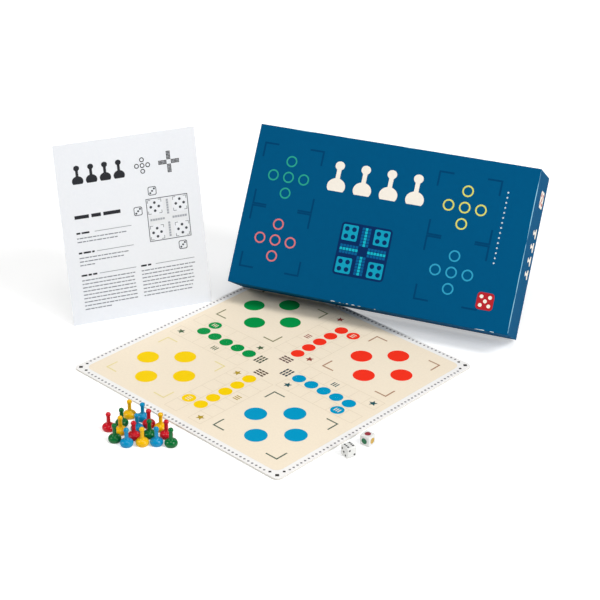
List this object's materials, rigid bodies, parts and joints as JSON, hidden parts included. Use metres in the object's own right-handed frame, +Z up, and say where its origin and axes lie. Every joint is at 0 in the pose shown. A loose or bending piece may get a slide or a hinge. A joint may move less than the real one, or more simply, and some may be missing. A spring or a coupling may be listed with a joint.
{
  "type": "ludo board game",
  "caption": "Folding ludo board laid out for play with ball-headed pawns, a number die, a colour die, a rules sheet and a lidded card box leaning behind it.",
  "frame": {"origin": "on the table under the middle of the opened board", "axes": "+X along the board's fold, +Y from the fold towards the box, +Z up"},
  "size_m": [0.4941, 0.5982, 0.2172],
  "materials": {
    "greyboard": "raw matt greyboard",
    "board_core": "matt solid board",
    "board_print": "printed, satin varnish",
    "board_lining": "plain matt paper",
    "box_wrap": "printed, matt laminate",
    "stay_tape": "brown gummed paper",
    "rules_paper": "printed, uncoated",
    "die_plastic": "polished",
    "pawn_red": "glossy moulded",
    "pawn_green": "glossy moulded",
    "pawn_yellow": "glossy moulded",
    "pawn_blue": "glossy moulded"
  },
  "bodies": {
    "board_far": {"board_lining_far": "board_lining", "board_panel_far": "board_core", "board_print_far": "board_print"},
    "board_near": {"board_lining_near": "board_lining", "board_panel_near": "board_core", "board_print_near": "board_print"},
    "tray": {"tray_floor": "greyboard", "tray_long_wall_1": "greyboard", "tray_long_wall_2": "greyboard", "tray_end_wall_1": "greyboard", "tray_end_wall_2": "greyboard", "tray_corner_stays": "stay_tape", "tray_wrap": "box_wrap"},
    "lid": {"lid_top": "greyboard", "lid_long_wall_1": "greyboard", "lid_long_wall_2": "greyboard", "lid_end_wall_1": "greyboard", "lid_end_wall_2": "greyboard", "lid_corner_stays": "stay_tape", "lid_wrap": "box_wrap"},
    "leaflet": {"rules_leaflet": "rules_paper"},
    "red_1_pawn": {"pawn_red_1": "pawn_red"},
    "red_2_pawn": {"pawn_red_2": "pawn_red"},
    "red_3_pawn": {"pawn_red_3": "pawn_red"},
    "red_4_pawn": {"pawn_red_4": "pawn_red"},
    "green_1_pawn": {"pawn_green_1": "pawn_green"},
    "green_2_pawn": {"pawn_green_2": "pawn_green"},
    "green_3_pawn": {"pawn_green_3": "pawn_green"},
    "green_4_pawn": {"pawn_green_4": "pawn_green"},
    "yellow_1_pawn": {"pawn_yellow_1": "pawn_yellow"},
    "yellow_2_pawn": {"pawn_yellow_2": "pawn_yellow"},
    "yellow_3_pawn": {"pawn_yellow_3": "pawn_yellow"},
    "yellow_4_pawn": {"pawn_yellow_4": "pawn_yellow"},
    "blue_1_pawn": {"pawn_blue_1": "pawn_blue"},
    "blue_2_pawn": {"pawn_blue_2": "pawn_blue"},
    "blue_3_pawn": {"pawn_blue_3": "pawn_blue"},
    "blue_4_pawn": {"pawn_blue_4": "pawn_blue"},
    "number_die": {"die_pips": "die_plastic"},
    "colour_die": {"die_spots": "die_plastic"}
  },
  "joints": [
    {"name": "board_fold", "type": "hinge", "parent": "board_far", "child": "board_near", "pos_m": [0, 0, 0.0024], "axis": [-1, 0, 0], "range_deg": [0, 90]},
    {"name": "box_lift", "type": "slide", "parent": "board_far", "child": "tray", "axis": [0, 0, 1], "range_m": [0, 0.12]},
    {"name": "lid_lift", "type": "slide", "parent": "tray", "child": "lid", "axis": [0.3151, -0.7721, 0.5519], "range_m": [0, 0.07]},
    {"name": "leaflet_lift", "type": "slide", "parent": "board_far", "child": "leaflet", "axis": [0, 0, 1], "range_m": [0, 0.12]},
    {"name": "red_1_pawn_lift", "type": "slide", "parent": "board_far", "child": "red_1_pawn", "axis": [0, 0, 1], "range_m": [0, 0.08]},
    {"name": "red_2_pawn_lift", "type": "slide", "parent": "board_far", "child": "red_2_pawn", "axis": [0, 0, 1], "range_m": [0, 0.08]},
    {"name": "red_3_pawn_lift", "type": "slide", "parent": "board_far", "child": "red_3_pawn", "axis": [0, 0, 1], "range_m": [0, 0.08]},
    {"name": "red_4_pawn_lift", "type": "slide", "parent": "board_far", "child": "red_4_pawn", "axis": [0, 0, 1], "range_m": [0, 0.08]},
    {"name": "green_1_pawn_lift", "type": "slide", "parent": "board_far", "child": "green_1_pawn", "axis": [0, 0, 1], "range_m": [0, 0.08]},
    {"name": "green_2_pawn_lift", "type": "slide", "parent": "board_far", "child": "green_2_pawn", "axis": [0, 0, 1], "range_m": [0, 0.08]},
    {"name": "green_3_pawn_lift", "type": "slide", "parent": "board_far", "child": "green_3_pawn", "axis": [0, 0, 1], "range_m": [0, 0.08]},
    {"name": "green_4_pawn_lift", "type": "slide", "parent": "board_far", "child": "green_4_pawn", "axis": [0, 0, 1], "range_m": [0, 0.08]},
    {"name": "yellow_1_pawn_lift", "type": "slide", "parent": "board_far", "child": "yellow_1_pawn", "axis": [0, 0, 1], "range_m": [0, 0.08]},
    {"name": "yellow_2_pawn_lift", "type": "slide", "parent": "board_far", "child": "yellow_2_pawn", "axis": [0, 0, 1], "range_m": [0, 0.08]},
    {"name": "yellow_3_pawn_lift", "type": "slide", "parent": "board_far", "child": "yellow_3_pawn", "axis": [0, 0, 1], "range_m": [0, 0.08]},
    {"name": "yellow_4_pawn_lift", "type": "slide", "parent": "board_far", "child": "yellow_4_pawn", "axis": [0, 0, 1], "range_m": [0, 0.08]},
    {"name": "blue_1_pawn_lift", "type": "slide", "parent": "board_far", "child": "blue_1_pawn", "axis": [0, 0, 1], "range_m": [0, 0.08]},
    {"name": "blue_2_pawn_lift", "type": "slide", "parent": "board_far", "child": "blue_2_pawn", "axis": [0, 0, 1], "range_m": [0, 0.08]},
    {"name": "blue_3_pawn_lift", "type": "slide", "parent": "board_far", "child": "blue_3_pawn", "axis": [0, 0, 1], "range_m": [0, 0.08]},
    {"name": "blue_4_pawn_lift", "type": "slide", "parent": "board_far", "child": "blue_4_pawn", "axis": [0, 0, 1], "range_m": [0, 0.08]},
    {"name": "number_die_lift", "type": "slide", "parent": "board_far", "child": "number_die", "axis": [0, 0, 1], "range_m": [0, 0.08]},
    {"name": "colour_die_lift", "type": "slide", "parent": "board_far", "child": "colour_die", "axis": [0, 0, 1], "range_m": [0, 0.08]}
  ]
}
